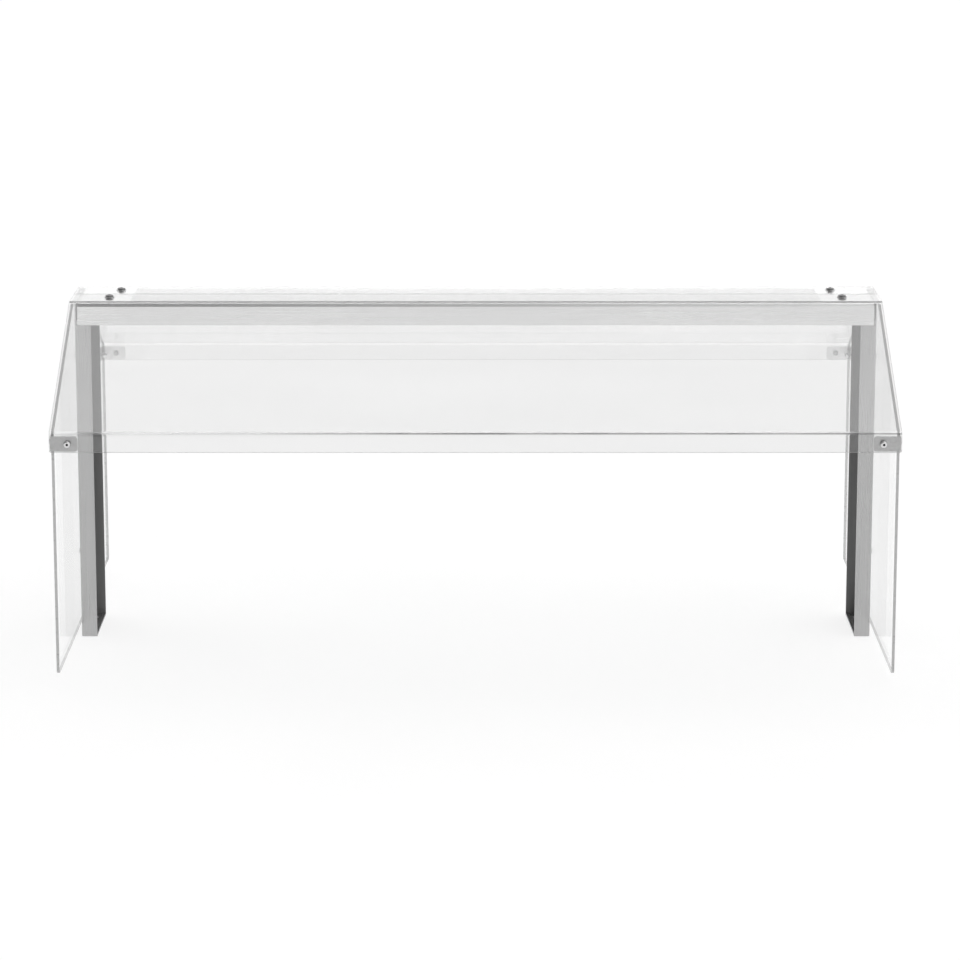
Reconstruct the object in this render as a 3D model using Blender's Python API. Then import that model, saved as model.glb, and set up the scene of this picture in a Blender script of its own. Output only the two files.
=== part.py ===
"""Double-sided buffet sneeze guard: a steel portal that carries two bent clear shields and two end panels.

Axes: +X runs along the guard, +Y from its front to its back, +Z up. The origin is on the counter, at the
middle of the footprint. All lengths are in metres.
"""

import math

import bmesh
import bpy
from mathutils import Matrix, Vector

MM = 0.001

# Overall size
SHIELD_LENGTH = 1127 * MM
DEPTH = 686 * MM
HEIGHT = 480 * MM            # counter to the outer face of the shields' top flanges
GAP = 0.3 * MM               # air between pieces that touch

# Clear sheets
SHEET = 4 * MM
SHIELD_BEND_Y = 66 * MM      # outer corner between a shield's top flange and its slope
SHIELD_BEND_Z = 349 * MM     # outer corner between the slope and the upright lip
LIP_HEIGHT = 26 * MM
UPPER_BEND_RADIUS = 14 * MM
LOWER_BEND_RADIUS = 9 * MM
BEND_STEPS = 6
SEAM = 1.0 * MM              # space between the two shields' flanges on the beam
LIP_CORNER = 3 * MM
PANEL_BOTTOM = 19 * MM
PANEL_CORNER = 6 * MM

# Steel portal
WALL = 2 * MM
LEG_BEND_RADIUS = 3 * MM
BEAM_BEND_RADIUS = 5 * MM
LEG_OUTER_X = 557 * MM
LEG_FLANGE = 22 * MM
LEG_DEPTH = 124 * MM
BEAM_HALF_LENGTH = 553 * MM
BEAM_HEIGHT = 31 * MM
TAPE = 0.6 * MM
TAPE_WIDTH = 46 * MM
TAPE_HALF_LENGTH = 480 * MM
FOOT_PLATE = 3 * MM
FOOT_CORNER = 1.5 * MM
FOOT_HOLE_RADIUS = 3.25 * MM
FOOT_HOLE_Y = 38 * MM
TAB = 3 * MM                 # angle that joins each leg to the beam
TAB_LENGTH = 74 * MM
TAB_DROP = 24 * MM
TAB_WIDTH = 112 * MM
TAB_BEND_RADIUS = 5 * MM
TAB_CORNER = 6 * MM

# Corner brackets behind the ends of the lips
BRACKET = 1.5 * MM
BRACKET_LENGTH = 37 * MM
BRACKET_HEIGHT = 20 * MM
BRACKET_SIDE = 30 * MM
BRACKET_BEND_RADIUS = 2.3 * MM
BRACKET_CORNER = 4 * MM
BRACKET_LIFT = 1 * MM        # from the lip's lower edge up to the bracket's

# Fasteners: radius of the shank, radius and height of the head, half the hexagon's flat-to-flat size of
# the nut and of the socket, and the nut's height
M6 = {"shank": 3.0 * MM, "head": 5.6 * MM, "head_height": 2.2 * MM, "nut": 5.0 * MM,
      "nut_height": 5.0 * MM, "socket": 2.0 * MM}
M5 = {"shank": 2.5 * MM, "head": 4.9 * MM, "head_height": 2.7 * MM, "nut": 4.0 * MM,
      "nut_height": 4.0 * MM, "socket": 1.5 * MM}
HOLE_CLEARANCE = 0.4 * MM
WASHER_RADIUS = 7.0 * MM
WASHER = 1.0 * MM
SHANK_PAST_NUT = 1.5 * MM
TOP_SCREW_X = {"front": 511 * MM, "rear": 500 * MM}
TOP_SCREW_Y = 31 * MM
FACE_SCREW_INSET = 23.5 * MM         # from the bracket's outer face
SIDE_SCREW_INSET = 19 * MM           # from the bracket's front face
PANEL_SCREW_Z = {"lower": 110 * MM, "upper": 390 * MM}

# Domed screw head: share of the head's height, and share of its radius there
HEAD_PROFILE = ((0.0, 1.0), (0.25, 1.0), (0.7, 0.86), (1.0, 0.58))
SOCKET_FLOOR = 0.4           # height of the socket's floor, as a share of the head's height

ROUND_STEPS = 12
HOLE_STEPS = 16
CORNER_STEPS = 3
TOUCH = 0.001 * MM           # lengths closer than this are the same
SMOOTH_BENDS = math.radians(30)

# Heights and faces worked out from the sizes above
LIP_BOTTOM = SHIELD_BEND_Z - LIP_HEIGHT
FLANGE_UNDERSIDE = HEIGHT - SHEET
BEAM_TOP = FLANGE_UNDERSIDE - TAPE - 2 * GAP
BEAM_BOTTOM = BEAM_TOP - BEAM_HEIGHT
PANEL_INNER_X = LEG_OUTER_X + GAP
PANEL_OUTER_X = PANEL_INNER_X + SHEET
BRACKET_OUTER_X = PANEL_OUTER_X + GAP + BRACKET
BRACKET_FRONT_Y = DEPTH / 2 - SHEET - GAP
BRACKET_Z = LIP_BOTTOM + BRACKET_LIFT + BRACKET_HEIGHT / 2

ENDS = {"left": -1, "right": 1}
SIDES = {"front": -1, "rear": 1}


def clear_scene():
    for old in list(bpy.data.objects):
        bpy.data.objects.remove(old, do_unlink=True)


def make_material(name, colour, roughness, metallic=0.0, alpha=1.0):
    material = bpy.data.materials.new(name)
    material.use_nodes = True
    shader = material.node_tree.nodes["Principled BSDF"]
    shader.inputs["Base Color"].default_value = (*colour, 1.0)
    shader.inputs["Roughness"].default_value = roughness
    shader.inputs["Metallic"].default_value = metallic
    shader.inputs["Alpha"].default_value = alpha
    return material


def add_object(name, bm, material=None):
    bmesh.ops.recalc_face_normals(bm, faces=bm.faces)
    mesh = bpy.data.meshes.new(name)
    bm.to_mesh(mesh)
    bm.free()
    obj = bpy.data.objects.new(name, mesh)
    bpy.context.scene.collection.objects.link(obj)
    if material:
        mesh.materials.append(material)
    return obj


def smooth(obj):
    obj.data.shade_smooth()
    obj.data.set_sharp_from_angle(angle=SMOOTH_BENDS)


def loft(bm, rings):
    """Skin between rings of equal point counts, closed at both ends."""
    for lower, upper in zip(rings, rings[1:]):
        count = len(lower)
        for i in range(count):
            j = (i + 1) % count
            bm.faces.new((lower[i], lower[j], upper[j], upper[i]))
    bm.faces.new(rings[0])
    bm.faces.new(rings[-1])


def prism(outline, low, high, place):
    """Extrude a closed 2-D outline from low to high. place(u, v, w) gives the point in space."""
    bm = bmesh.new()
    rings = [[bm.verts.new(place(u, v, w)) for u, v in outline] for w in (low, high)]
    loft(bm, rings)
    return bm


def along_x(u, v, w):
    return (w, u, v)


def along_y(u, v, w):
    return (u, w, v)


def along_z(u, v, w):
    return (u, v, w)


def arc(centre, radius, start, end, steps):
    angles = [start + (end - start) * i / steps for i in range(steps + 1)]
    return [(centre[0] + radius * math.cos(a), centre[1] + radius * math.sin(a)) for a in angles]


def fillet(before, here, after, radius):
    """Centre, first angle and turn of the arc that rounds the corner at here."""
    here = Vector(here)
    back = (Vector(before) - here).normalized()
    ahead = (Vector(after) - here).normalized()
    half = back.angle(ahead) / 2
    centre = here + (back + ahead).normalized() * radius / math.sin(half)
    start = here + back * radius / math.tan(half) - centre
    end = here + ahead * radius / math.tan(half) - centre
    first = math.atan2(start.y, start.x)
    turn = (math.atan2(end.y, end.x) - first + math.pi) % (2 * math.pi) - math.pi
    return centre, first, turn


def rounded_polygon(corners, radii):
    """A polygon with each corner replaced by an arc of its own radius, or kept where that is 0."""
    points = []
    for i, (corner, radius) in enumerate(zip(corners, radii)):
        if radius == 0:
            points.append(tuple(corner))
            continue
        centre, first, turn = fillet(corners[i - 1], corner, corners[(i + 1) % len(corners)], radius)
        points += arc(centre, radius, first, first + turn, CORNER_STEPS)
    return points


def bent_profile(path, radii, thickness):
    """Outline of a sheet folded along a 2-D path. The path is its outer face, the sheet lies to the
    left of it when walking along the path, and every fold turns to the left."""
    outer, inner = [], []
    last = len(path) - 1
    for i, point in enumerate(path):
        here = Vector(point)
        if i in (0, last):
            ahead = Vector(path[1]) - here if i == 0 else here - Vector(path[i - 1])
            normal = Vector((-ahead.y, ahead.x)).normalized()
            outer.append(tuple(here))
            inner.append(tuple(here + normal * thickness))
            continue
        radius = radii[i - 1]
        centre, first, turn = fillet(path[i - 1], point, path[i + 1], radius)
        outer += arc(centre, radius, first, first + turn, BEND_STEPS)
        inner += arc(centre, radius - thickness, first, first + turn, BEND_STEPS)
    return outer + inner[::-1]


def round_corners(bm, thickness, radius, height_limit=HEIGHT):
    """Round the corners at a folded sheet's two ends, or only those whose middle is below height_limit.
    They are the edges that cross its thickness."""
    crossing = []
    for edge in bm.edges:
        middle = (edge.verts[0].co + edge.verts[1].co) / 2
        if abs(edge.calc_length() - thickness) < TOUCH and middle.z < height_limit:
            crossing.append(edge)
    bmesh.ops.bevel(bm, geom=crossing, offset=radius, segments=CORNER_STEPS, profile=0.5, affect="EDGES")


def circle(radius, count=ROUND_STEPS):
    return [(radius * math.cos(2 * math.pi * i / count), radius * math.sin(2 * math.pi * i / count))
            for i in range(count)]


def hexagon(half_flats):
    """A hexagon drawn with a point at each corner and at the middle of each side."""
    points = []
    for i in range(ROUND_STEPS):
        angle = 2 * math.pi * i / ROUND_STEPS
        reach = half_flats / math.cos(math.pi / 6) if i % 2 == 0 else half_flats
        points.append((reach * math.cos(angle), reach * math.sin(angle)))
    return points


def pose(bm, point, direction):
    """Turn a piece made along +Z to point along direction, and move it to point."""
    turn = Vector((0, 0, 1)).rotation_difference(Vector(direction)).to_matrix().to_4x4()
    bmesh.ops.transform(bm, matrix=Matrix.Translation(point) @ turn, verts=bm.verts)


def stack(rings):
    """A closed body through rings given as (outline, height)."""
    bm = bmesh.new()
    loft(bm, [[bm.verts.new((x, y, z)) for x, y in outline] for outline, z in rings])
    return bm


def screw(name, size, reach, point, direction, material):
    """Button-head screw. point is under the head, direction points out of the head."""
    head, height, shank = size["head"], size["head_height"], size["shank"]
    rings = [(circle(shank), -reach), (circle(shank), 0)]
    rings += [(circle(share * head), level * height) for level, share in HEAD_PROFILE]
    rings += [(hexagon(size["socket"]), height), (hexagon(size["socket"]), SOCKET_FLOOR * height)]
    bm = stack(rings)
    pose(bm, point, direction)
    smooth(add_object(name, bm, material))


def collar(name, outline, hole_radius, height, point, direction, material):
    """A nut or washer: an outline with a round hole, from point along direction."""
    bm = bmesh.new()
    hole = circle(hole_radius, len(outline))
    rings = [[bm.verts.new((x, y, z)) for x, y in shape]
             for shape, z in ((outline, 0), (outline, height), (hole, height), (hole, 0))]
    count = len(outline)
    for ring, following in zip(rings, rings[1:] + rings[:1]):
        for i in range(count):
            j = (i + 1) % count
            bm.faces.new((ring[i], ring[j], following[j], following[i]))
    pose(bm, point, direction)
    smooth(add_object(name, bm, material))


def cut_away(obj, bm, label):
    """Cut the closed body bm out of obj. The cutter stays in the scene as a hidden wire shape."""
    cutter = add_object(f"{obj.name}_{label}_cutter", bm)
    cutter.hide_render = True
    cutter.display_type = "WIRE"
    cut = obj.modifiers.new(label, "BOOLEAN")
    cut.operation = "DIFFERENCE"
    cut.solver = "EXACT"
    cut.object = cutter


def drill(obj, holes):
    """Cut round holes through obj. Each hole is (centre, axis, radius, half length)."""
    bm = bmesh.new()
    for centre, axis, radius, half in holes:
        bit = stack([(circle(radius, HOLE_STEPS), -half), (circle(radius, HOLE_STEPS), half)])
        pose(bit, centre, axis)
        mesh = bpy.data.meshes.new("bit")
        bit.to_mesh(mesh)
        bit.free()
        bm.from_mesh(mesh)
        bpy.data.meshes.remove(mesh)
    cut_away(obj, bm, "holes")


def hole_radius(size):
    return size["shank"] + HOLE_CLEARANCE


def shield_path(inset=0.0):
    """Outer path of the front shield, from the seam to the foot of the lip, as (y, z). inset moves the
    whole path inwards, measured square to each stretch."""
    top = HEIGHT - inset
    lip_y = -DEPTH / 2 + inset
    rise = HEIGHT - SHIELD_BEND_Z
    run = DEPTH / 2 - SHIELD_BEND_Y
    slope = math.atan2(rise, run)
    bend_y = -SHIELD_BEND_Y + inset * math.tan(slope / 2)
    bend_z = SHIELD_BEND_Z - inset * math.tan((math.pi / 2 - slope) / 2)
    return [(-SEAM / 2, top), (bend_y, top), (lip_y, bend_z), (lip_y, LIP_BOTTOM)]


def make_shield(side, material):
    sign = SIDES[side]
    outline = bent_profile(shield_path(), (UPPER_BEND_RADIUS, LOWER_BEND_RADIUS), SHEET)
    half = SHIELD_LENGTH / 2
    bm = prism([(-sign * y, z) for y, z in outline], -half, half, along_x)
    round_corners(bm, SHEET, LIP_CORNER, SHIELD_BEND_Z)
    obj = add_object(side + "_shield", bm, material)
    smooth(obj)
    holes = []
    for end in ENDS.values():
        top = (end * TOP_SCREW_X[side], sign * TOP_SCREW_Y, HEIGHT)
        holes.append((top, (0, 0, 1), hole_radius(M6), SHEET * 2))
        face = (end * (BRACKET_OUTER_X - FACE_SCREW_INSET), sign * DEPTH / 2, BRACKET_Z)
        holes.append((face, (0, 1, 0), hole_radius(M5), SHEET * 2))
    drill(obj, holes)


def make_tape(side, material):
    sign = SIDES[side]
    low = FLANGE_UNDERSIDE - GAP - TAPE
    half = TAPE_HALF_LENGTH
    near = sign * LEG_DEPTH / 4 - TAPE_WIDTH / 2
    far = near + TAPE_WIDTH
    outline = [(-half, near), (half, near), (half, far), (-half, far)]
    add_object(side + "_tape", prism(outline, low, low + TAPE, along_z), material)


def make_beam(material):
    """Inverted channel that rests on the legs' flanges."""
    half = LEG_DEPTH / 2
    path = [(half, BEAM_BOTTOM), (half, BEAM_TOP), (-half, BEAM_TOP), (-half, BEAM_BOTTOM)]
    outline = bent_profile(path, (BEAM_BEND_RADIUS, BEAM_BEND_RADIUS), WALL)
    obj = add_object("top_beam", prism(outline, -BEAM_HALF_LENGTH, BEAM_HALF_LENGTH, along_x), material)
    smooth(obj)
    centres = [(end * TOP_SCREW_X[side], sign * TOP_SCREW_Y, BEAM_TOP)
               for end in ENDS.values() for side, sign in SIDES.items()]
    drill(obj, [(centre, (0, 0, 1), hole_radius(M6), WALL * 2) for centre in centres])


def make_leg(name, end, material):
    """Channel that opens towards the middle. Its web rises past the flanges and closes the beam's end."""
    half = LEG_DEPTH / 2
    outer = end * LEG_OUTER_X
    inner = end * (LEG_OUTER_X - LEG_FLANGE)
    path = [(inner, half), (outer, half), (outer, -half), (inner, -half)]
    outline = bent_profile(path if end < 0 else path[::-1], (LEG_BEND_RADIUS, LEG_BEND_RADIUS), WALL)
    obj = add_object(name + "_leg", prism(outline, 0, BEAM_TOP, along_z), material)
    smooth(obj)
    web, beyond = outer - end * WALL, inner - end * WALL
    corners = [(web, -DEPTH), (beyond, -DEPTH), (beyond, DEPTH), (web, DEPTH)]
    cut_away(obj, prism(corners, BEAM_BOTTOM - GAP, HEIGHT, along_z), "notch")
    drill(obj, [((outer, 0, z), (1, 0, 0), hole_radius(M5), WALL * 2) for z in PANEL_SCREW_Z.values()])


def make_foot_plate(name, end, material):
    """Plate that closes the bottom of the leg's channel and takes two hold-down screws."""
    outer = end * (LEG_OUTER_X - WALL - GAP)
    inner = end * (LEG_OUTER_X - LEG_FLANGE)
    half = LEG_DEPTH / 2 - WALL - GAP
    outline = rounded_polygon([(outer, -half), (outer, half), (inner, half), (inner, -half)],
                              [FOOT_CORNER, FOOT_CORNER, 0, 0])
    obj = add_object(name + "_foot_plate", prism(outline, 0, FOOT_PLATE, along_z), material)
    middle = (outer + inner) / 2
    drill(obj, [((middle, sign * FOOT_HOLE_Y, 0), (0, 0, 1), FOOT_HOLE_RADIUS, FOOT_PLATE * 2)
                for sign in SIDES.values()])


def make_top_tab(name, end, material):
    """Angle inside the beam's end: one leaf lies against the leg's web, the other under the beam."""
    outer = LEG_OUTER_X - WALL - GAP
    top = BEAM_TOP - WALL - GAP
    path = [(outer, top - TAB_DROP), (outer, top), (outer - TAB_LENGTH, top)]
    outline = [(end * x, z) for x, z in bent_profile(path, (TAB_BEND_RADIUS,), TAB)]
    bm = prism(outline, -TAB_WIDTH / 2, TAB_WIDTH / 2, along_y)
    round_corners(bm, TAB, TAB_CORNER)
    obj = add_object(name + "_top_tab", bm, material)
    smooth(obj)
    drill(obj, [((end * TOP_SCREW_X[side], sign * TOP_SCREW_Y, top), (0, 0, 1), hole_radius(M6), TAB * 2)
                for side, sign in SIDES.items()])


def make_end_panel(name, end, material):
    """Flat clear panel outside the leg. Its upper edges follow the underside of the two shields."""
    clear = SHEET + 2 * GAP
    front = shield_path(clear)
    inset_y = BRACKET_FRONT_Y - BRACKET - GAP
    slope = (front[2][1] - front[1][1]) / (front[2][0] - front[1][0])
    shoulder = front[1][1] + slope * (-inset_y - front[1][0])
    half = [(-front[1][0], front[1][1]), (inset_y, shoulder), (inset_y, PANEL_BOTTOM)]
    corners = half + [(-y, z) for y, z in half[::-1]]
    outline = rounded_polygon(corners, [0, 0, PANEL_CORNER, PANEL_CORNER, 0, 0])
    inner = end * PANEL_INNER_X
    low, high = sorted((inner, end * PANEL_OUTER_X))
    obj = add_object(name + "_end_panel", prism(outline, low, high, along_x), material)
    side_y = BRACKET_FRONT_Y - SIDE_SCREW_INSET
    centres = [(inner, 0, z) for z in PANEL_SCREW_Z.values()]
    centres += [(inner, sign * side_y, BRACKET_Z) for sign in SIDES.values()]
    drill(obj, [(centre, (1, 0, 0), hole_radius(M5), SHEET * 2) for centre in centres])


def make_bracket(name, end, sign, material):
    """Right-angle bracket: the long leaf lies behind the lip, the short one outside the end panel."""
    outer = BRACKET_OUTER_X
    front = BRACKET_FRONT_Y
    path = [(outer - BRACKET_LENGTH, front), (outer, front), (outer, front - BRACKET_SIDE)]
    path = [(end * x, sign * y) for x, y in path]
    if end * sign > 0:
        path = path[::-1]
    outline = bent_profile(path, (BRACKET_BEND_RADIUS,), BRACKET)
    half = BRACKET_HEIGHT / 2
    bm = prism(outline, BRACKET_Z - half, BRACKET_Z + half, along_z)
    round_corners(bm, BRACKET, BRACKET_CORNER)
    obj = add_object(name + "_bracket", bm, material)
    smooth(obj)
    face = (end * (outer - FACE_SCREW_INSET), sign * front, BRACKET_Z)
    side = (end * outer, sign * (front - SIDE_SCREW_INSET), BRACKET_Z)
    radius = hole_radius(M5)
    drill(obj, [(face, (0, 1, 0), radius, BRACKET * 3), (side, (1, 0, 0), radius, BRACKET * 3)])


def make_top_screws(steel, dark):
    """Each set clamps a shield, the tape, the beam and the leg's tab."""
    tab_underside = BEAM_TOP - WALL - GAP - TAB
    for side, sign in SIDES.items():
        for name, end in ENDS.items():
            x, y = end * TOP_SCREW_X[side], sign * TOP_SCREW_Y
            label = f"{side}_{name}_top"
            collar(label + "_washer", circle(WASHER_RADIUS, HOLE_STEPS), hole_radius(M6), WASHER,
                   (x, y, HEIGHT + GAP), (0, 0, 1), steel)
            head = HEIGHT + WASHER + 2 * GAP
            nut = tab_underside - GAP
            reach = head - nut + M6["nut_height"] + SHANK_PAST_NUT
            screw(label + "_screw", M6, reach, (x, y, head), (0, 0, 1), dark)
            collar(label + "_nut", hexagon(M6["nut"]), M6["shank"] + GAP, M6["nut_height"],
                   (x, y, nut), (0, 0, -1), steel)


def make_bracket_screws(steel):
    """At each corner one set clamps the lip to the bracket and one clamps the bracket to the end panel."""
    for side, sign in SIDES.items():
        for name, end in ENDS.items():
            label = f"{side}_{name}"
            x = end * (BRACKET_OUTER_X - FACE_SCREW_INSET)
            head = DEPTH / 2 + GAP
            nut = BRACKET_FRONT_Y - BRACKET - GAP
            reach = head - nut + M5["nut_height"] + SHANK_PAST_NUT
            screw(label + "_face_screw", M5, reach, (x, sign * head, BRACKET_Z), (0, sign, 0), steel)
            collar(label + "_face_nut", hexagon(M5["nut"]), M5["shank"] + GAP, M5["nut_height"],
                   (x, sign * nut, BRACKET_Z), (0, -sign, 0), steel)
            y = sign * (BRACKET_FRONT_Y - SIDE_SCREW_INSET)
            head = BRACKET_OUTER_X + GAP
            nut = PANEL_INNER_X - GAP
            reach = head - nut + M5["nut_height"] + SHANK_PAST_NUT
            screw(label + "_side_screw", M5, reach, (end * head, y, BRACKET_Z), (end, 0, 0), steel)
            collar(label + "_side_nut", hexagon(M5["nut"]), M5["shank"] + GAP, M5["nut_height"],
                   (end * nut, y, BRACKET_Z), (-end, 0, 0), steel)


def make_panel_screws(steel):
    """Two sets through each end panel and its leg."""
    for name, end in ENDS.items():
        for level, z in PANEL_SCREW_Z.items():
            head = PANEL_OUTER_X + GAP
            nut = LEG_OUTER_X - WALL - GAP
            reach = head - nut + M5["nut_height"] + SHANK_PAST_NUT
            screw(f"{name}_{level}_panel_screw", M5, reach, (end * head, 0, z), (end, 0, 0), steel)
            collar(f"{name}_{level}_panel_nut", hexagon(M5["nut"]), M5["shank"] + GAP, M5["nut_height"],
                   (end * nut, 0, z), (-end, 0, 0), steel)


def main():
    clear_scene()
    acrylic = make_material("clear_acrylic", (0.92, 0.93, 0.93), 0.03, alpha=0.25)
    brushed = make_material("brushed_steel", (0.55, 0.55, 0.55), 0.32, metallic=1.0)
    bracket_steel = make_material("bracket_steel", (0.60, 0.60, 0.60), 0.38, metallic=1.0)
    fastener_steel = make_material("fastener_steel", (0.62, 0.62, 0.63), 0.25, metallic=1.0)
    dark_steel = make_material("dark_fastener_steel", (0.12, 0.12, 0.12), 0.35, metallic=1.0)
    tape = make_material("clear_tape", (0.85, 0.85, 0.85), 0.5, alpha=0.6)

    make_beam(brushed)
    for side in SIDES:
        make_shield(side, acrylic)
        make_tape(side, tape)
    for name, end in ENDS.items():
        make_leg(name, end, brushed)
        make_foot_plate(name, end, brushed)
        make_top_tab(name, end, brushed)
        make_end_panel(name, end, acrylic)
        for side, sign in SIDES.items():
            make_bracket(f"{side}_{name}", end, sign, bracket_steel)
    make_top_screws(fastener_steel, dark_steel)
    make_bracket_screws(fastener_steel)
    make_panel_screws(fastener_steel)


main()
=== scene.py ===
"""Looks of the double-sided sneeze guard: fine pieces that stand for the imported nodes, their materials,
a pale floor, soft light and the camera. Lengths are in metres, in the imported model's own axes."""
import math

import bmesh
import bpy
from mathutils import Matrix, Vector


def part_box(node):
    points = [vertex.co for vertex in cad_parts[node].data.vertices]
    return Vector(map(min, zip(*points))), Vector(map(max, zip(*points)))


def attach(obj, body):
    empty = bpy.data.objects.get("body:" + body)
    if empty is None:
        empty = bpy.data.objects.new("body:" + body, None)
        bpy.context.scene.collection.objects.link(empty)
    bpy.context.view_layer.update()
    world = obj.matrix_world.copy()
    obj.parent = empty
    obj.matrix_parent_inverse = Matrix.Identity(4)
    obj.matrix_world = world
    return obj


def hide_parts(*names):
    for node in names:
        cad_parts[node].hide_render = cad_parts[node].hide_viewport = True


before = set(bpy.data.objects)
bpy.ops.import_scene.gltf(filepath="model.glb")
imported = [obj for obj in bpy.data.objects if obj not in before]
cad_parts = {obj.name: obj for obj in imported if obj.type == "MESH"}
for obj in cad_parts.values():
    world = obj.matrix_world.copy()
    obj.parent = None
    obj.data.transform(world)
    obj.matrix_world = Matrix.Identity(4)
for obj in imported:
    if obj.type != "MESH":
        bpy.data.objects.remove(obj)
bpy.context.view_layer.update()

BODY = "root"
MM = 0.001
ENDS = {"left": -1, "right": 1}
SIDES = {"front": -1, "rear": 1}

# Camera: the height, distance and fall of the view that the guard is looked at from
CAMERA_PLACE = (0.006, -5.127, 1.310)
CAMERA_PITCH = math.radians(12.08)
CAMERA_LENS = 138.6
SENSOR = 36.0

# Faces and heights read from the frame
SHIELD_LOW, SHIELD_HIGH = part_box("front_shield")
PANEL_LOW, PANEL_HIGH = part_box("right_end_panel")
LEG_LOW, LEG_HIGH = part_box("right_leg")
BEAM_LOW, BEAM_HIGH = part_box("top_beam")
BRACKET_LOW, BRACKET_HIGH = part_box("rear_right_bracket")
SHEET = PANEL_HIGH.x - PANEL_LOW.x
HALF_DEPTH = -SHIELD_LOW.y
HALF_SEAM = -SHIELD_HIGH.y
DECK = SHIELD_HIGH.z
LIP_BOTTOM = SHIELD_LOW.z
BRACKET_Z = (BRACKET_LOW.z + BRACKET_HIGH.z) / 2

# Folds and corners
SHIELD_BEND_Y = 66 * MM
SHIELD_BEND_Z = 349 * MM
UPPER_BEND_RADIUS = 14 * MM
LOWER_BEND_RADIUS = 9 * MM
PAINTED_BEND_LINE = 2.8 * MM                 # height of the painted dark line inside the front shield's lower bend, which is painted shade
PAINTED_BEND_LINE_Z = SHIELD_BEND_Z - 1.5 * MM
LIP_CORNER = 3 * MM
PANEL_CORNER = 6 * MM
PANEL_SHOULDER = 1 * MM
WALL = 2 * MM
LEG_BEND = 3 * MM
BEAM_BEND = 5 * MM
TAB = 3 * MM
TAB_BEND = 5 * MM
TAB_CORNER = 6 * MM
BRACKET = 1.5 * MM
BRACKET_BEND = 2.3 * MM
BRACKET_CORNER = 4 * MM
TAPE_CORNER = 2 * MM
FOOT_CORNER = 1.5 * MM
GAP = 0.3 * MM

# Fasteners
M6 = {"shank": 3.0 * MM, "pitch": 1.0 * MM, "head": 5.6 * MM, "head_height": 2.2 * MM, "nut": 5.0 * MM,
      "socket": 2.0 * MM}
M5 = {"shank": 2.5 * MM, "pitch": 0.8 * MM, "head": 4.9 * MM, "head_height": 2.7 * MM, "nut": 4.0 * MM,
      "socket": 1.5 * MM}
HOLE_CLEARANCE = 0.4 * MM
FOOT_HOLE_RADIUS = 3.25 * MM
FOOT_HOLE_Y = 38 * MM

# How far a face's unit normal leans along an axis: hardly, mostly and nearly all the way
HARDLY = 0.1
MOSTLY = 0.5
NEARLY = 0.9

ACRYLIC_IOR = 1.49
FLOOR_HALF = 12.0
FLOOR_TOP = -0.2 * MM
FLOOR_BOTTOM = -20 * MM

BEND_STEPS = 24
CORNER_STEPS = 8
ROUND_STEPS = 48
THREAD_STEPS = 32
RINGS_PER_TURN = 6


def middle(node):
    low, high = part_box(node)
    return (low + high) / 2


TOP_SCREW = {side: middle(side + "_right_top_washer") for side in SIDES}
FACE_SCREW_X = middle("rear_right_face_nut").x
SIDE_SCREW_Y = middle("rear_right_side_nut").y
PANEL_SCREW_Z = {level: middle(f"right_{level}_panel_nut").z for level in ("lower", "upper")}


# Materials

def new_material(name):
    material = bpy.data.materials.new(name)
    material.use_nodes = True
    tree = material.node_tree
    return material, tree, tree.nodes["Principled BSDF"]


def noise(tree, scale, detail=2.0, roughness=0.5):
    """Noise over the object's own metres, with a scale for each of X, Y and Z."""
    place = tree.nodes.new("ShaderNodeTexCoord")
    stretch = tree.nodes.new("ShaderNodeMapping")
    stretch.inputs["Scale"].default_value = scale
    grain = tree.nodes.new("ShaderNodeTexNoise")
    grain.inputs["Scale"].default_value = 1.0
    grain.inputs["Detail"].default_value = detail
    grain.inputs["Roughness"].default_value = roughness
    tree.links.new(place.outputs["Object"], stretch.inputs["Vector"])
    tree.links.new(stretch.outputs["Vector"], grain.inputs["Vector"])
    return grain.outputs["Fac"]


def axes_of(tree, output):
    """Outputs X, Y and Z of a texture coordinate."""
    place = tree.nodes.new("ShaderNodeTexCoord")
    apart = tree.nodes.new("ShaderNodeSeparateXYZ")
    tree.links.new(place.outputs[output], apart.inputs["Vector"])
    return apart.outputs


def spread(tree, value, low, high, start=0.3, end=0.7):
    """Maps start..end of a value onto low..high."""
    node = tree.nodes.new("ShaderNodeMapRange")
    node.inputs["From Min"].default_value = start
    node.inputs["From Max"].default_value = end
    node.inputs["To Min"].default_value = low
    node.inputs["To Max"].default_value = high
    tree.links.new(value, node.inputs["Value"])
    return node.outputs["Result"]


def combine(tree, operation, first, second):
    node = tree.nodes.new("ShaderNodeMath")
    node.operation = operation
    tree.links.new(first, node.inputs[0])
    tree.links.new(second, node.inputs[1])
    return node.outputs["Value"]


def with_number(tree, operation, value, number):
    node = tree.nodes.new("ShaderNodeMath")
    node.operation = operation
    node.inputs[1].default_value = number
    tree.links.new(value, node.inputs[0])
    return node.outputs["Value"]


def add(tree, first, second):
    return combine(tree, "ADD", first, second)


def multiply(tree, first, second):
    return combine(tree, "MULTIPLY", first, second)


def shaded(tree, value, colour, dark, light):
    """The colour times dark to light, as value goes from 0 to 1."""
    ramp = tree.nodes.new("ShaderNodeValToRGB")
    ramp.color_ramp.elements[0].color = (*(c * dark for c in colour), 1)
    ramp.color_ramp.elements[1].color = (*(min(c * light, 1) for c in colour), 1)
    tree.links.new(value, ramp.inputs["Fac"])
    return ramp.outputs["Color"]


def bump(tree, shader, height, strength, distance):
    node = tree.nodes.new("ShaderNodeBump")
    node.inputs["Strength"].default_value = strength
    node.inputs["Distance"].default_value = distance
    tree.links.new(height, node.inputs["Height"])
    tree.links.new(node.outputs["Normal"], shader.inputs["Normal"])


def grain_scale(axis, along, across):
    return tuple(along if a == axis else across for a in "XYZ")


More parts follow.
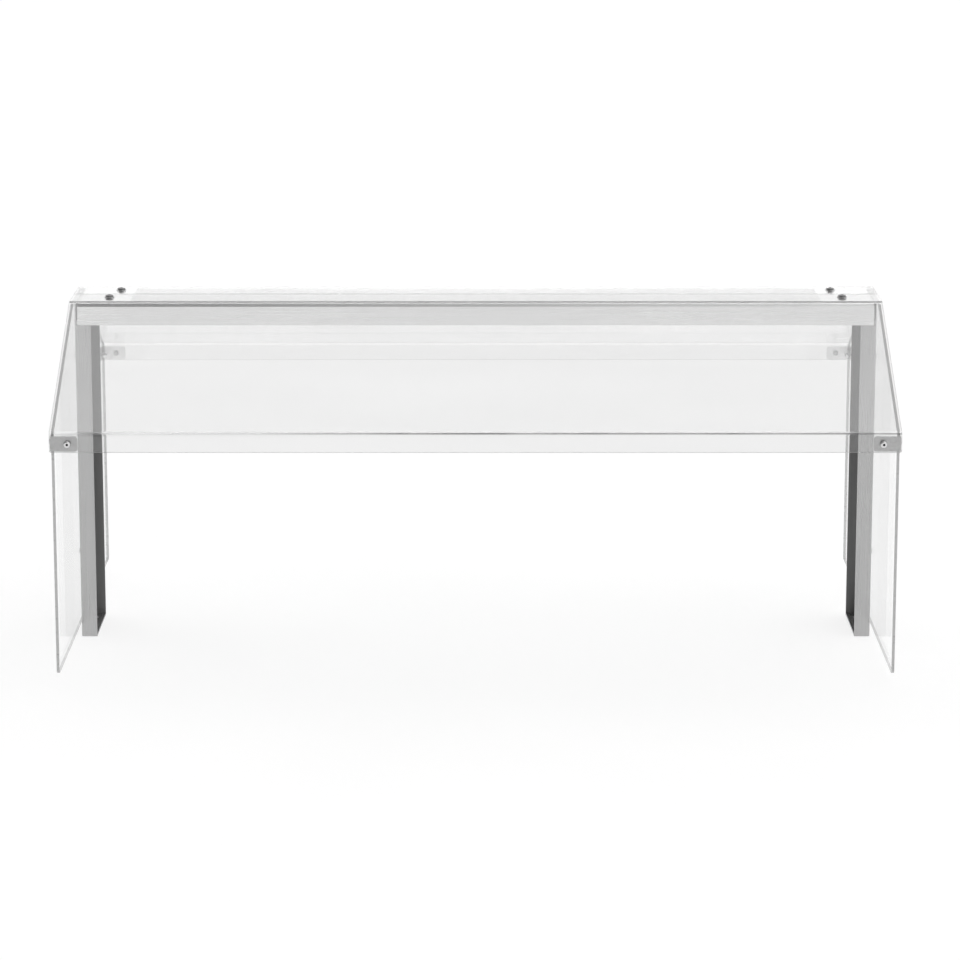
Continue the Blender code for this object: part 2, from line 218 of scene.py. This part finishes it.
def brushed_steel(name, axis, tone, roughness=0.3):
    """Stainless with brush lines along one axis: fine scratches, broader bands and a slow cloudiness."""
    material, tree, shader = new_material(name)
    fine = noise(tree, grain_scale(axis, 8, 1600), 3)
    bands = noise(tree, grain_scale(axis, 1.5, 190), 2)
    cloud = noise(tree, grain_scale(axis, 5, 11), 3)
    both = add(tree, spread(tree, fine, 0.0, 0.6), spread(tree, bands, 0.0, 0.4))
    colour = (tone, tone, tone)
    tree.links.new(shaded(tree, both, colour, 0.94, 1.06), shader.inputs["Base Color"])
    scratched = spread(tree, fine, roughness - 0.06, roughness + 0.06)
    rough = add(tree, scratched, spread(tree, cloud, -0.03, 0.04))
    tree.links.new(rough, shader.inputs["Roughness"])
    shader.inputs["Metallic"].default_value = 1.0
    bump(tree, shader, both, 0.2, 0.02 * MM)
    return material


def fold_painted_shade():
    """The beam's two folds carry painted shade: a painted dark reflection, darkest at the left end and
    fading out towards the right.
    """
    material, tree, shader = new_material("beam_fold_painted_shade")
    along = spread(tree, axes_of(tree, "Object")["X"], 0.0, 1.0, -0.5, 0.5)
    bands = spread(tree, noise(tree, (1.5, 190, 190), 2), -0.04, 0.04)
    tree.links.new(shaded(tree, add(tree, along, bands), (1.0, 1.0, 1.0), 0.03, 1.0),
                   shader.inputs["Base Color"])
    tree.links.new(spread(tree, bands, 0.3, 0.4, -0.04, 0.04), shader.inputs["Roughness"])
    shader.inputs["Metallic"].default_value = 1.0
    return material


def acrylic(name, tone, clearness, opacity):
    """Polished sheet with a slight tint, a faint wiping haze and the slow waves of a cast sheet. What
    clearness leaves below 1 is a white haze, and an opacity below 1 thins the sheet's reflections."""
    material, tree, shader = new_material(name)
    smear = noise(tree, (3, 12, 12), 4, 0.6)
    tree.links.new(shaded(tree, spread(tree, smear, 0, 1), (tone, tone, tone), 0.985, 1.015),
                   shader.inputs["Base Color"])
    tree.links.new(spread(tree, smear, 0.0, 0.03), shader.inputs["Roughness"])
    shader.inputs["Transmission Weight"].default_value = clearness
    shader.inputs["IOR"].default_value = ACRYLIC_IOR
    shader.inputs["Alpha"].default_value = opacity
    bump(tree, shader, noise(tree, (6, 6, 6), 1), 0.04, 0.3 * MM)
    return material


def bend_line_painted_shade():
    """Inside of the lower bend: a painted dark line of shade, darker towards its right end."""
    material, tree, shader = new_material("acrylic_heat_line")
    along = spread(tree, axes_of(tree, "Object")["X"], 0.0, 0.85, -0.45, -0.1)
    patches = spread(tree, noise(tree, (9, 60, 60), 3), -0.1, 0.2)
    tree.links.new(shaded(tree, add(tree, along, patches), (0.84, 0.84, 0.84), 1.0, 0.04),
                   shader.inputs["Base Color"])
    tree.links.new(spread(tree, patches, 0.05, 0.3, -0.1, 0.2), shader.inputs["Roughness"])
    shader.inputs["Transmission Weight"].default_value = 0.98
    shader.inputs["IOR"].default_value = ACRYLIC_IOR
    return material


def acrylic_edge():
    """Sawn and scraped edge of the sheet: greyer and rougher, with marks across it."""
    material, tree, shader = new_material("acrylic_edge")
    marks = noise(tree, (300, 420, 420), 3)
    tree.links.new(shaded(tree, spread(tree, marks, 0, 1), (0.40, 0.40, 0.40), 0.9, 1.1),
                   shader.inputs["Base Color"])
    tree.links.new(spread(tree, marks, 0.25, 0.45), shader.inputs["Roughness"])
    shader.inputs["Transmission Weight"].default_value = 0.3
    shader.inputs["IOR"].default_value = ACRYLIC_IOR
    bump(tree, shader, marks, 0.2, 0.03 * MM)
    return material


def tumbled_steel(name, tone, roughness):
    """Screws, nuts and small brackets: fine speckle over slow patches."""
    material, tree, shader = new_material(name)
    speckle = noise(tree, (2400, 2400, 2400), 3)
    patch = noise(tree, (260, 260, 260), 2)
    colour = (tone, tone, tone)
    tree.links.new(shaded(tree, spread(tree, patch, 0, 1), colour, 0.92, 1.08),
                   shader.inputs["Base Color"])
    tree.links.new(spread(tree, speckle, roughness - 0.06, roughness + 0.08), shader.inputs["Roughness"])
    shader.inputs["Metallic"].default_value = 1.0
    bump(tree, shader, speckle, 0.25, 0.02 * MM)
    return material


def tape_film():
    """Translucent bonding tape with small trapped bubbles."""
    material, tree, shader = new_material("clear_tape_detail")
    bubbles = noise(tree, (150, 150, 150), 3)
    tree.links.new(shaded(tree, spread(tree, bubbles, 0, 1), (0.9, 0.9, 0.9), 0.95, 1.05),
                   shader.inputs["Base Color"])
    tree.links.new(spread(tree, bubbles, 0.1, 0.3), shader.inputs["Roughness"])
    shader.inputs["Transmission Weight"].default_value = 0.94
    shader.inputs["IOR"].default_value = 1.48
    return material


def floor_paint():
    """Matt white with a little light of its own, so that it reads as a lit studio sweep."""
    material, tree, shader = new_material("pale_floor")
    mottle = noise(tree, (2, 2, 2), 3)
    tree.links.new(shaded(tree, spread(tree, mottle, 0, 1), (0.25, 0.25, 0.25), 0.96, 1.04),
                   shader.inputs["Base Color"])
    shader.inputs["Roughness"].default_value = 0.9
    shader.inputs["Specular IOR Level"].default_value = 0.0
    shader.inputs["Emission Color"].default_value = (1, 1, 1, 1)
    shader.inputs["Emission Strength"].default_value = 0.78
    return material


# Mesh tools

def loft(bm, rings):
    """Skin between rings of equal point counts, closed at both ends."""
    for lower, upper in zip(rings, rings[1:]):
        count = len(lower)
        for i in range(count):
            j = (i + 1) % count
            bm.faces.new((lower[i], lower[j], upper[j], upper[i]))
    bm.faces.new(rings[0])
    bm.faces.new(rings[-1])


def body_through(rings):
    """A closed body through rings of 3-D points."""
    bm = bmesh.new()
    loft(bm, [[bm.verts.new(point) for point in ring] for ring in rings])
    return bm


def stack(rings):
    """A closed body through rings given as (outline, height)."""
    return body_through([[(x, y, z) for x, y in outline] for outline, z in rings])


def along_x(u, v, w):
    return (w, u, v)


def along_y(u, v, w):
    return (u, w, v)


def along_z(u, v, w):
    return (u, v, w)


def fillet(before, here, after, radius):
    """Centre, first angle and turn of the arc that rounds the corner at here."""
    here = Vector(here)
    back = (Vector(before) - here).normalized()
    ahead = (Vector(after) - here).normalized()
    half = back.angle(ahead) / 2
    centre = here + (back + ahead).normalized() * radius / math.sin(half)
    start = here + back * radius / math.tan(half) - centre
    end = here + ahead * radius / math.tan(half) - centre
    first = math.atan2(start.y, start.x)
    turn = (math.atan2(end.y, end.x) - first + math.pi) % (2 * math.pi) - math.pi
    return centre, first, turn


def on_arc(centre, radius, angle):
    return (centre[0] + radius * math.cos(angle), centre[1] + radius * math.sin(angle))


def rounded_polygon(corners, radii):
    points = []
    for i, (corner, radius) in enumerate(zip(corners, radii)):
        if radius <= 0:
            points.append(tuple(corner))
            continue
        centre, first, turn = fillet(corners[i - 1], corner, corners[(i + 1) % len(corners)], radius)
        for k in range(CORNER_STEPS + 1):
            points.append(on_arc(centre, radius, first + turn * k / CORNER_STEPS))
    return points


def folded_strip(path, radii, thickness, low, high, place, corner_start=0.0, corner_end=0.0,
                 steps=BEND_STEPS):
    """A sheet folded along a 2-D path and as wide as low..high. The path is the sheet's outer face, and the
    sheet lies to the left of it. corner_start and corner_end round the corners at the path's two ends."""
    rings = []

    def cross(outer, inner, inset):
        rings.append([place(*outer, low + inset), place(*outer, high - inset),
                      place(*inner, high - inset), place(*inner, low + inset)])

    def tip(point, towards, corner, is_start):
        """The rings over the last stretch before an end, narrower and narrower where the end is rounded."""
        here = Vector(point)
        inward = (Vector(towards) - here).normalized()
        walk = inward if is_start else -inward
        normal = Vector((-walk.y, walk.x)) * thickness
        turns = [k / CORNER_STEPS * math.pi / 2 for k in range(CORNER_STEPS + 1)] if corner else [0.0]
        for turn in turns if is_start else reversed(turns):
            outer = here + inward * corner * (1 - math.cos(turn))
            cross(outer, outer + normal, corner * (1 - math.sin(turn)))

    tip(path[0], path[1], corner_start, True)
    for i, radius in enumerate(radii, start=1):
        centre, first, turn = fillet(path[i - 1], path[i], path[i + 1], radius)
        for k in range(steps + 1):
            angle = first + turn * k / steps
            cross(on_arc(centre, radius, angle), on_arc(centre, radius - thickness, angle), 0.0)
    tip(path[-1], path[-2], corner_end, False)
    return body_through(rings)


def circle(radius, count=ROUND_STEPS):
    return [on_arc((0, 0), radius, 2 * math.pi * i / count) for i in range(count)]


def hexagon(half_flats, limit=1.0, count=ROUND_STEPS):
    """A hexagon with its corners cut back to a circle of radius limit."""
    points = []
    for i in range(count):
        angle = 2 * math.pi * i / count
        reach = half_flats / math.cos((angle + math.pi / 6) % (math.pi / 3) - math.pi / 6)
        points.append(on_arc((0, 0), min(reach, limit), angle))
    return points


def pose(bm, point, direction):
    """Turn a body made along +Z to point along direction, and move it to point."""
    turn = Vector((0, 0, 1)).rotation_difference(Vector(direction)).to_matrix().to_4x4()
    bmesh.ops.transform(bm, matrix=Matrix.Translation(point) @ turn, verts=bm.verts)


def new_object(name, bm, materials):
    bmesh.ops.recalc_face_normals(bm, faces=bm.faces)
    mesh = bpy.data.meshes.new(name)
    bm.to_mesh(mesh)
    bm.free()
    for material in materials:
        mesh.materials.append(material)
    obj = bpy.data.objects.new(name, mesh)
    bpy.context.scene.collection.objects.link(obj)
    return obj


def use_material(bm, index, chosen):
    """Give a material to each face that chosen picks by its centre and normal."""
    bmesh.ops.recalc_face_normals(bm, faces=bm.faces)
    for face in bm.faces:
        if chosen(face.calc_center_median(), face.normal):
            face.material_index = index


def hole_radius(size):
    return size["shank"] + HOLE_CLEARANCE


def drill_bits(holes):
    """Round bits for holes given as (centre, axis, radius, half length)."""
    bm = bmesh.new()
    for centre, axis, radius, half in holes:
        bit = stack([(circle(radius), -half), (circle(radius), half)])
        pose(bit, centre, axis)
        bmesh.ops.recalc_face_normals(bit, faces=bit.faces)
        mesh = bpy.data.meshes.new("bit")
        bit.to_mesh(mesh)
        bit.free()
        bm.from_mesh(mesh)
        bpy.data.meshes.remove(mesh)
    return bm


def cut_away(obj, bm, material_index):
    """Cut the closed body bm out of obj and keep the result as its mesh."""
    for face in bm.faces:
        face.material_index = material_index
    bits = new_object("bits", bm, obj.data.materials)
    cut = obj.modifiers.new("cut", "BOOLEAN")
    cut.operation = "DIFFERENCE"
    cut.solver = "EXACT"
    cut.object = bits
    shaped = obj.evaluated_get(bpy.context.evaluated_depsgraph_get())
    made = bpy.data.meshes.new_from_object(shaped)
    obj.modifiers.remove(cut)
    bpy.data.objects.remove(bits)
    obj.data = made


def add_piece(node, bm, materials, edge=0.25 * MM, cuts=(), cut_material=0):
    """Finish a body as the piece that stands for a CAD node: cuts, softened edges and even shading."""
    piece = new_object(node + "_detail", bm, materials)
    for cut in cuts:
        cut_away(piece, cut, cut_material)
    piece.data.shade_smooth()
    soften = piece.modifiers.new("edge", "BEVEL")
    soften.width = edge
    soften.segments = 2
    soften.limit_method = "ANGLE"
    soften.angle_limit = math.radians(35)
    even = piece.modifiers.new("even", "WEIGHTED_NORMAL")
    even.weight = 100
    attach(piece, BODY)
    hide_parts(node)
    return piece


# Clear sheets

def shield_path(inset=0.0):
    """Outer path of the front shield as (y, z), from the seam to the foot of the lip."""
    slope = math.atan2(DECK - SHIELD_BEND_Z, HALF_DEPTH - SHIELD_BEND_Y)
    bend_y = -SHIELD_BEND_Y + inset * math.tan(slope / 2)
    bend_z = SHIELD_BEND_Z - inset * math.tan((math.pi / 2 - slope) / 2)
    return [(-HALF_SEAM, DECK - inset), (bend_y, DECK - inset), (inset - HALF_DEPTH, bend_z),
            (inset - HALF_DEPTH, LIP_BOTTOM)]


def make_shield(side, sheet_materials):
    """The materials are those of the sheet, of its cut edges, of the lip and of the painted shade line in
    the lower bend.
    """
    sign = SIDES[side]

    def place(y, z, x):
        return (x, -sign * y, z)

    bm = folded_strip(shield_path(), (UPPER_BEND_RADIUS, LOWER_BEND_RADIUS), SHEET, SHIELD_LOW.x,
                      SHIELD_HIGH.x, place, corner_end=LIP_CORNER)
    corner_top = LIP_BOTTOM + LIP_CORNER
    use_material(bm, 1, lambda centre, normal: abs(normal.x) > HARDLY or abs(centre.y) < HALF_SEAM * 1.1
                 or (centre.z < corner_top and abs(normal.y) < MOSTLY))
    use_material(bm, 2, lambda centre, normal: abs(normal.x) < HARDLY and abs(normal.y) > NEARLY
                 and centre.z < PAINTED_BEND_LINE_Z)
    # The dark line inside the lower bend is painted shade.
    use_material(bm, 3, lambda centre, normal: abs(normal.x) < HARDLY and sign * normal.y < -MOSTLY
                 and abs(centre.z - PAINTED_BEND_LINE_Z) < PAINTED_BEND_LINE / 2)
    holes = []
    for end in ENDS.values():
        top = (end * TOP_SCREW[side].x, TOP_SCREW[side].y, DECK)
        face = (end * FACE_SCREW_X, sign * HALF_DEPTH, BRACKET_Z)
        holes.append((top, (0, 0, 1), hole_radius(M6), SHEET * 2))
        holes.append((face, (0, 1, 0), hole_radius(M5), SHEET * 2))
    add_piece(side + "_shield", bm, sheet_materials, 0.3 * MM, [drill_bits(holes)], 1)


def make_end_panel(name, sheet_materials):
    low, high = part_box(name + "_end_panel")
    front = shield_path(SHEET + 2 * GAP)
    slope = (front[2][1] - front[1][1]) / (front[2][0] - front[1][0])
    shoulder = front[1][1] + slope * (low.y - front[1][0])
    half = [(-front[1][0], front[1][1]), (-low.y, shoulder), (-low.y, low.z)]
    corners = half + [(-y, z) for y, z in half[::-1]]
    radii = [0, PANEL_SHOULDER, PANEL_CORNER]
    outline = rounded_polygon(corners, radii + radii[::-1])
    bm = body_through([[(x, y, z) for y, z in outline] for x in (low.x, high.x)])
    use_material(bm, 1, lambda centre, normal: abs(normal.x) < MOSTLY)
    inside = (low.x + high.x) / 2
    holes = [((inside, 0, z), (1, 0, 0), hole_radius(M5), SHEET * 2) for z in PANEL_SCREW_Z.values()]
    holes += [((inside, sign * SIDE_SCREW_Y, BRACKET_Z), (1, 0, 0), hole_radius(M5), SHEET * 2)
              for sign in SIDES.values()]
    add_piece(name + "_end_panel", bm, sheet_materials, 0.3 * MM, [drill_bits(holes)], 1)


def make_tape(side, film):
    low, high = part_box(side + "_tape")
    outline = rounded_polygon([(low.x, low.y), (high.x, low.y), (high.x, high.y), (low.x, high.y)],
                              [TAPE_CORNER] * 4)
    add_piece(side + "_tape", stack([(outline, low.z), (outline, high.z)]), [film], 0.1 * MM)


# Steel portal

def top_holes(z, half, ends):
    return [((ENDS[end] * TOP_SCREW[side].x, TOP_SCREW[side].y, z), (0, 0, 1), hole_radius(M6), half)
            for end in ends for side in SIDES]


def make_beam(steels):
    """Inverted channel. The materials are those of its faces and of its two folds, which carry painted
    shade.
    """
    half = BEAM_HIGH.y
    path = [(half, BEAM_LOW.z), (half, BEAM_HIGH.z), (-half, BEAM_HIGH.z), (-half, BEAM_LOW.z)]
    bm = folded_strip(path, (BEAM_BEND, BEAM_BEND), WALL, BEAM_LOW.x, BEAM_HIGH.x, along_x,
                      steps=CORNER_STEPS)
    # The faces of the two folds get the painted shade material.
    use_material(bm, 1, lambda centre, normal: abs(centre.y) > half - BEAM_BEND and abs(normal.x) < MOSTLY
                 and centre.z > BEAM_HIGH.z - BEAM_BEND)
    bits = drill_bits(top_holes(BEAM_HIGH.z, WALL * 2, ENDS))
    add_piece("top_beam", bm, steels, cuts=[bits])


def make_leg(name, end, steels):
    """Channel that opens towards the middle. Above the flanges only the web goes on, up the beam's end.
    The materials are those of its outer and of its inner faces; the inner faces are darker, as painted
    shade inside the channel."""
    half = LEG_HIGH.y
    outer, inner = end * LEG_HIGH.x, end * LEG_LOW.x
    path = [(inner, half), (outer, half), (outer, -half), (inner, -half)]
    bm = folded_strip(path if end < 0 else path[::-1], (LEG_BEND, LEG_BEND), WALL, 0, LEG_HIGH.z,
                      along_z, steps=CORNER_STEPS)
    inside = half - WALL / 2
    # Faces inside the channel get the darker material: painted shade.
    use_material(bm, 1, lambda centre, normal: abs(centre.x) < LEG_HIGH.x - WALL / 2
                 and abs(centre.y) < inside and abs(normal.z) < MOSTLY)
    web, beyond = outer - end * WALL, inner - end * WALL
    notch = stack([([(web, -half * 2), (beyond, -half * 2), (beyond, half * 2), (web, half * 2)], z)
                   for z in (BEAM_LOW.z - GAP, DECK)])
    holes = [((outer, 0, z), (1, 0, 0), hole_radius(M5), WALL * 2) for z in PANEL_SCREW_Z.values()]
    add_piece(name + "_leg", bm, steels, cuts=[notch, drill_bits(holes)])


def make_foot_plate(name, end, steel):
    """Plate inside the foot of the channel, fitted into its two folds, with two hold-down holes."""
    low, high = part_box(name + "_foot_plate")
    radii = [0, FOOT_CORNER, FOOT_CORNER, 0] if end > 0 else [FOOT_CORNER, 0, 0, FOOT_CORNER]
    outline = rounded_polygon([(low.x, low.y), (high.x, low.y), (high.x, high.y), (low.x, high.y)], radii)
    holes = [(((low.x + high.x) / 2, y, 0), (0, 0, 1), FOOT_HOLE_RADIUS, high.z * 2)
             for y in (-FOOT_HOLE_Y, FOOT_HOLE_Y)]
    add_piece(name + "_foot_plate", stack([(outline, low.z), (outline, high.z)]), [steel],
              cuts=[drill_bits(holes)])


def make_top_tab(name, end, steel):
    """Angle inside the beam's end: one leaf lies against the leg's web, the other under the beam."""
    low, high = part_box(name + "_top_tab")
    far = max(abs(low.x), abs(high.x))
    near = min(abs(low.x), abs(high.x))

    def place(x, z, y):
        return (end * x, y, z)

    bm = folded_strip([(far, low.z), (far, high.z), (near, high.z)], (TAB_BEND,), TAB, low.y, high.y,
                      place, TAB_CORNER, TAB_CORNER, CORNER_STEPS)
    bits = drill_bits(top_holes(high.z, TAB * 2, [name]))
    add_piece(name + "_top_tab", bm, [steel], cuts=[bits])


def make_bracket(name, end, sign, steels):
    """Right-angle bracket: the long leaf lies behind the lip, the short one outside the end panel. The
    materials are those of its outer and of its inner faces; the inner faces are painted lighter, as painted
    light."""
    low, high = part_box(name + "_bracket")
    outer, front = end * BRACKET_HIGH.x, sign * BRACKET_HIGH.y
    path = [(end * BRACKET_LOW.x, front), (outer, front), (outer, sign * BRACKET_LOW.y)]
    bm = folded_strip(path if end * sign < 0 else path[::-1], (BRACKET_BEND,), BRACKET, low.z, high.z,
                      along_z, BRACKET_CORNER, BRACKET_CORNER, CORNER_STEPS)
    holes = [((end * FACE_SCREW_X, front, BRACKET_Z), (0, 1, 0), hole_radius(M5), BRACKET * 3),
             ((outer, sign * SIDE_SCREW_Y, BRACKET_Z), (1, 0, 0), hole_radius(M5), BRACKET * 3)]
    # Inner faces get the lighter steel: painted light.
    use_material(bm, 1, lambda centre, normal: end * normal.x < -MOSTLY or sign * normal.y < -MOSTLY)
    add_piece(name + "_bracket", bm, steels, 0.2 * MM, [drill_bits(holes)])


# Fasteners

def thread(size, reach):
    """Rings of a threaded shank from its tip at -reach up to the plain neck at 0."""
    shank, pitch = size["shank"], size["pitch"]
    depth = 0.6 * pitch
    chamfer = pitch
    plain = 0.5 * pitch
    count = round((reach - plain) / pitch * RINGS_PER_TURN)
    rings = []
    for k in range(count + 1):
        z = -reach + (reach - plain) * k / count
        tip = min((z + reach) / chamfer, 1.0)
        ring = []
        for i in range(THREAD_STEPS):
            turn = (z / pitch - i / THREAD_STEPS) % 1.0
            groove = depth * abs(2 * turn - 1)
            radius = min(shank - groove * (k < count), shank - depth * (1 - tip))
            ring.append(on_arc((0, 0), radius, 2 * math.pi * i / THREAD_STEPS))
        rings.append((ring, z))
    return rings


def make_screw(name, size, under_head, direction, steels):
    """Button-head screw: domed head, hexagon socket with a coned bottom, threaded shank. The materials
    are those of the screw and of the inside of its socket, which is painted near black as painted shade."""
    low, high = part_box(name)
    reach = max(high - low) - size["head_height"]
    head, height, socket = size["head"], size["head_height"], size["socket"]
    flat = 0.56 * head
    brim = 0.18 * height
    break_edge = 0.15 * MM
    rings = thread(size, reach)
    neck = circle(size["shank"], THREAD_STEPS)
    rings += [(neck, 0.0), (circle(head - break_edge, THREAD_STEPS), 0.0),
              (circle(head, THREAD_STEPS), break_edge), (circle(head, THREAD_STEPS), brim)]
    for k in range(1, CORNER_STEPS + 1):
        turn = math.pi / 2 * k / CORNER_STEPS
        rings.append((circle(flat + (head - flat) * math.cos(turn), THREAD_STEPS),
                      brim + (height - brim) * math.sin(turn)))
    mouth = hexagon(socket, 1.06 * socket, THREAD_STEPS)
    corners = hexagon(socket, 1.2 * socket, THREAD_STEPS)
    rings += [(hexagon(1.12 * socket, 1.2 * socket, THREAD_STEPS), height), (corners, height - break_edge),
              (corners, 0.42 * height), (mouth, 0.40 * height),
              (circle(0.2 * socket, THREAD_STEPS), 0.22 * height)]
    bm = stack(rings)
    # The inside of the socket gets the near-black painted shade.
    use_material(bm, 1, lambda centre, normal: 0.1 * height < centre.z < height - 0.05 * MM
                 and centre.xy.length < 1.1 * socket)
    pose(bm, under_head, direction)
    add_piece(name, bm, steels, 0.08 * MM)


def make_collar(name, profile, point, direction, steel):
    """A nut or washer: a closed loop of rings, each (outline, height), turned round the screw's axis."""
    bm = bmesh.new()
    rings = [[bm.verts.new((x, y, z)) for x, y in outline] for outline, z in profile]
    count = len(rings[0])
    for ring, following in zip(rings, rings[1:] + rings[:1]):
        for i in range(count):
            j = (i + 1) % count
            bm.faces.new((ring[i], ring[j], following[j], following[i]))
    pose(bm, point, direction)
    add_piece(name, bm, [steel], 0.1 * MM)


def nut_profile(size, height):
    """Hexagon nut, both faces turned down to a cone at the corners, bore countersunk at both ends."""
    half, bore = size["nut"], size["shank"] + GAP
    corner = half / math.cos(math.pi / 6)
    chamfer = 0.14 * half
    levels = [k / 4 for k in range(5)]
    lower = [(hexagon(half, 0.97 * half + (corner - 0.97 * half) * t), chamfer * t) for t in levels]
    upper = [(outline, height - z) for outline, z in lower[::-1]]
    sink = 0.4 * MM
    inner = [(circle(bore + sink), height), (circle(bore), height - sink), (circle(bore), sink),
             (circle(bore + sink), 0.0)]
    return lower + upper + inner


def washer_profile(node, bore):
    low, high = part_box(node)
    radius, height = (high.x - low.x) / 2, high.z - low.z
    edge = 0.25 * MM
    return [(circle(radius - edge), 0.0), (circle(radius), edge), (circle(radius), height - edge),
            (circle(radius - edge), height), (circle(bore), height), (circle(bore), 0.0)]


def faces_of(node, axis, sign):
    """The node's two end faces along an axis: the far one, then the one that sign points at."""
    low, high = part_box(node)
    return (low[axis], high[axis]) if sign > 0 else (high[axis], low[axis])


def make_fastening(label, size, axis, sign, screw_steels, nut_steel):
    """A screw and its nut on one axis. The head points along sign."""
    direction = Vector((0, 0, 0))
    direction[axis] = sign
    centre = middle(label + "_screw")
    head_top = faces_of(label + "_screw", axis, sign)[1]
    under_head = centre.copy()
    under_head[axis] = head_top - sign * size["head_height"]
    make_screw(label + "_screw", size, under_head, direction, screw_steels)
    nut_far, nut_near = faces_of(label + "_nut", axis, sign)
    seat = centre.copy()
    seat[axis] = nut_near
    profile = nut_profile(size, abs(nut_near - nut_far))
    make_collar(label + "_nut", profile, seat, -direction, nut_steel)


def make_fasteners(bright, dark, nut_steel, washer_steel):
    for name, end in ENDS.items():
        for side, sign in SIDES.items():
            label = f"{side}_{name}"
            washer = label + "_top_washer"
            seat = middle(washer)
            seat.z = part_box(washer)[0].z
            make_collar(washer, washer_profile(washer, hole_radius(M6)), seat, (0, 0, 1),
                        washer_steel)
            make_fastening(label + "_top", M6, 2, 1, dark, nut_steel)
            make_fastening(label + "_face", M5, 1, sign, bright, nut_steel)
            make_fastening(label + "_side", M5, 0, end, bright, nut_steel)
        for level in PANEL_SCREW_Z:
            make_fastening(f"{name}_{level}_panel", M5, 0, end, bright, nut_steel)


# Stage

def make_floor():
    half = FLOOR_HALF
    square = [(-half, -half), (half, -half), (half, half), (-half, half)]
    bm = stack([(square, FLOOR_BOTTOM), (square, FLOOR_TOP)])
    new_object("floor", bm, [floor_paint()])


def lobe(tree, direction, sharpness, gain):
    """A soft patch of the sky, brightest along direction."""
    place = tree.nodes.new("ShaderNodeTexCoord")
    facing = tree.nodes.new("ShaderNodeVectorMath")
    facing.operation = "DOT_PRODUCT"
    facing.inputs[1].default_value = Vector(direction).normalized()
    tree.links.new(place.outputs["Generated"], facing.inputs[0])
    clipped = with_number(tree, "MAXIMUM", facing.outputs["Value"], 0.0)
    narrowed = with_number(tree, "POWER", clipped, sharpness)
    return with_number(tree, "MULTIPLY", narrowed, gain)


def make_sky():
    """White all round, brighter high behind the guard, and shaded off above and before it on the left."""
    world = bpy.data.worlds.new("studio")
    bpy.context.scene.world = world
    world.use_nodes = True
    tree = world.node_tree
    direction = axes_of(tree, "Generated")
    above = spread(tree, direction["Z"], 0.0, 0.75, 0.02, 0.25)
    before = spread(tree, direction["Y"], 1.0, 0.0, -0.2, 0.2)
    left = spread(tree, direction["X"], 1.0, 0.0, -0.14, 0.14)
    shade = multiply(tree, multiply(tree, above, before), left)
    unshaded = spread(tree, shade, 1.0, 0.0, 0.0, 1.0)
    total = add(tree, unshaded, lobe(tree, (0, 0.75, 0.66), 3, 0.5))
    tree.links.new(total, tree.nodes["Background"].inputs["Strength"])
    tree.nodes["Background"].inputs["Color"].default_value = (1, 1, 1, 1)


def make_camera():
    camera = bpy.data.objects.new("camera", bpy.data.cameras.new("camera"))
    camera.location = CAMERA_PLACE
    camera.rotation_euler = (math.pi / 2 - CAMERA_PITCH, 0, 0)
    camera.data.lens = CAMERA_LENS
    camera.data.sensor_width = SENSOR
    camera.data.clip_end = 100
    bpy.context.scene.collection.objects.link(camera)
    bpy.context.scene.camera = camera


def main():
    # The beam's second material paints shade onto its two folds.
    beam_steels = [brushed_steel("brushed_steel_beam", "X", 0.93), fold_painted_shade()]
    # The legs' second material is darker painted shade for the inside of the channel.
    leg_steels = [brushed_steel("brushed_steel_leg", "Z", 0.46),
                  brushed_steel("leg_inside_painted_shade", "Z", 0.26, 0.38)]
    plate_steel = brushed_steel("brushed_steel_plate", "Y", 0.42)
    # The brackets' inner faces are painted lighter than the outer ones: painted light.
    bracket_steels = [tumbled_steel("bracket_steel_outer", 0.62, 0.36),
                      tumbled_steel("bracket_steel_inner_painted_light", 0.9, 0.3)]
    nut_steel = tumbled_steel("nut_steel", 0.75, 0.22)
    washer_steel = tumbled_steel("washer_steel", 0.46, 0.3)
    # Near-black painted shade for the inside of the sockets.
    socket_painted_shade = tumbled_steel("socket_painted_shade", 0.06, 0.5)
    bright = [tumbled_steel("screw_steel", 0.66, 0.2), socket_painted_shade]
    dark = [tumbled_steel("dark_screw_steel", 0.22, 0.3), socket_painted_shade]
    edge = acrylic_edge()
    front_sheet = acrylic("clear_acrylic_front", 0.87, 0.88, 1.0)
    front_lip = acrylic("clear_acrylic_lip", 0.865, 0.97, 1.0)
    rear_sheet = acrylic("clear_acrylic_rear", 0.92, 0.98, 0.65)
    # The front shield's fourth material is the painted shade line in its lower bend.
    shield_materials = {"front": [front_sheet, edge, front_lip, bend_line_painted_shade()],
                        "rear": [rear_sheet, edge, rear_sheet, rear_sheet]}
    panel_materials = [acrylic("clear_acrylic_end", 0.84, 1.0, 0.2), edge]
    film = tape_film()

    make_beam(beam_steels)
    for side in SIDES:
        make_shield(side, shield_materials[side])
        make_tape(side, film)
    for name, end in ENDS.items():
        make_leg(name, end, leg_steels)
        make_foot_plate(name, end, plate_steel)
        make_top_tab(name, end, plate_steel)
        make_end_panel(name, panel_materials)
        for side, sign in SIDES.items():
            make_bracket(f"{side}_{name}", end, sign, bracket_steels)
    make_fasteners(bright, dark, nut_steel, washer_steel)
    make_floor()
    make_sky()
    make_camera()
    bpy.context.scene.view_settings.view_transform = "Standard"


main()
